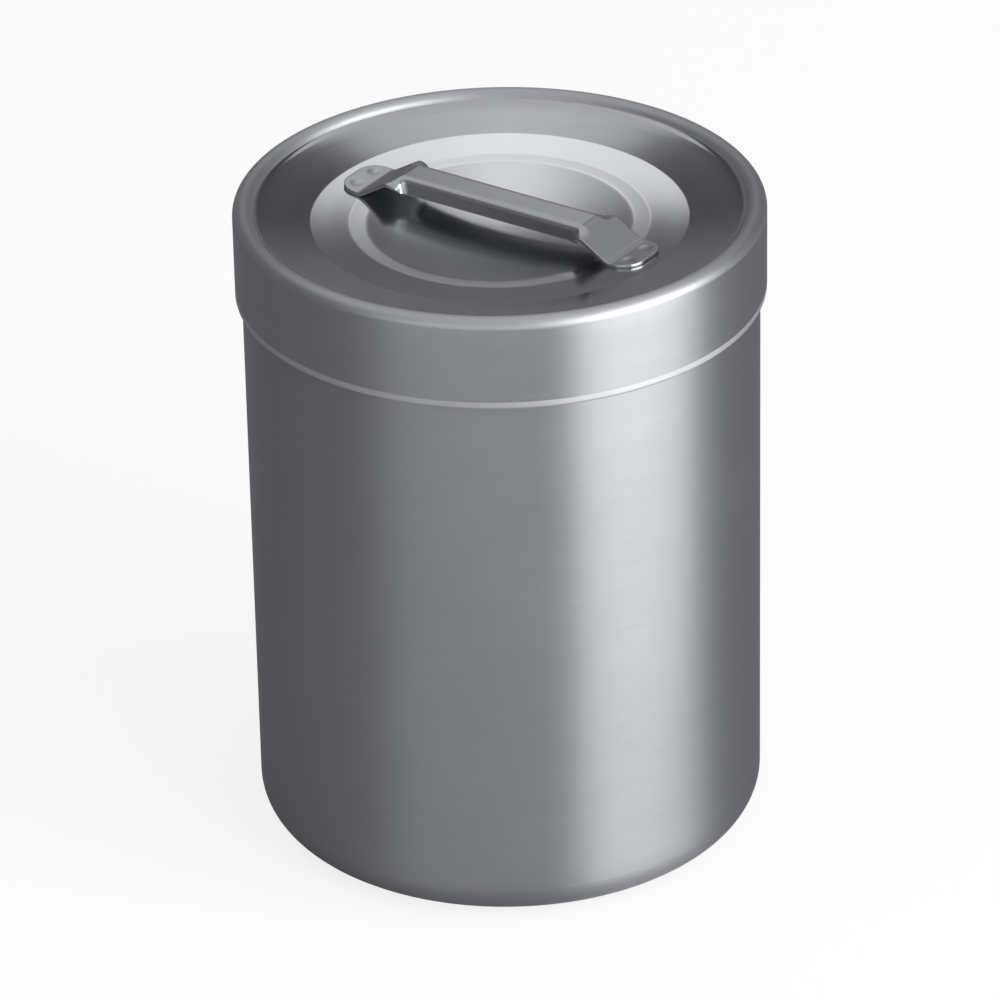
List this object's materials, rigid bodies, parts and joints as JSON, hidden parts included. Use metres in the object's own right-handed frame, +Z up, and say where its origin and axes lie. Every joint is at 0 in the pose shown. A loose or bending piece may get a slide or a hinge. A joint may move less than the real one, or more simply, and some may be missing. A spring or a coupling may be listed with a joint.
{
  "type": "covered dressing jar",
  "caption": "Straight-sided round steel jar with a slip-over cover; a low strap handle on the dished cover lifts it off to reach dressings kept inside.",
  "frame": {"origin": "centre of the base, on the surface that the jar stands on", "axes": "+Z up along the jar's axis; the handle on the cover runs along X"},
  "size_m": [0.127, 0.127, 0.1645],
  "materials": {
    "jar_steel": "satin, fine grain round the wall",
    "cover_steel": "satin, fine concentric grain",
    "handle_steel": "satin, fine grain along the strip"
  },
  "bodies": {
    "jar": {"jar_body": "jar_steel"},
    "cover": {"cover": "cover_steel", "strap_handle": "handle_steel"}
  },
  "joints": [
    {"name": "cover_lift", "type": "slide", "parent": "jar", "child": "cover", "axis": [0, 0, 1], "range_m": [0, 0.1]}
  ]
}
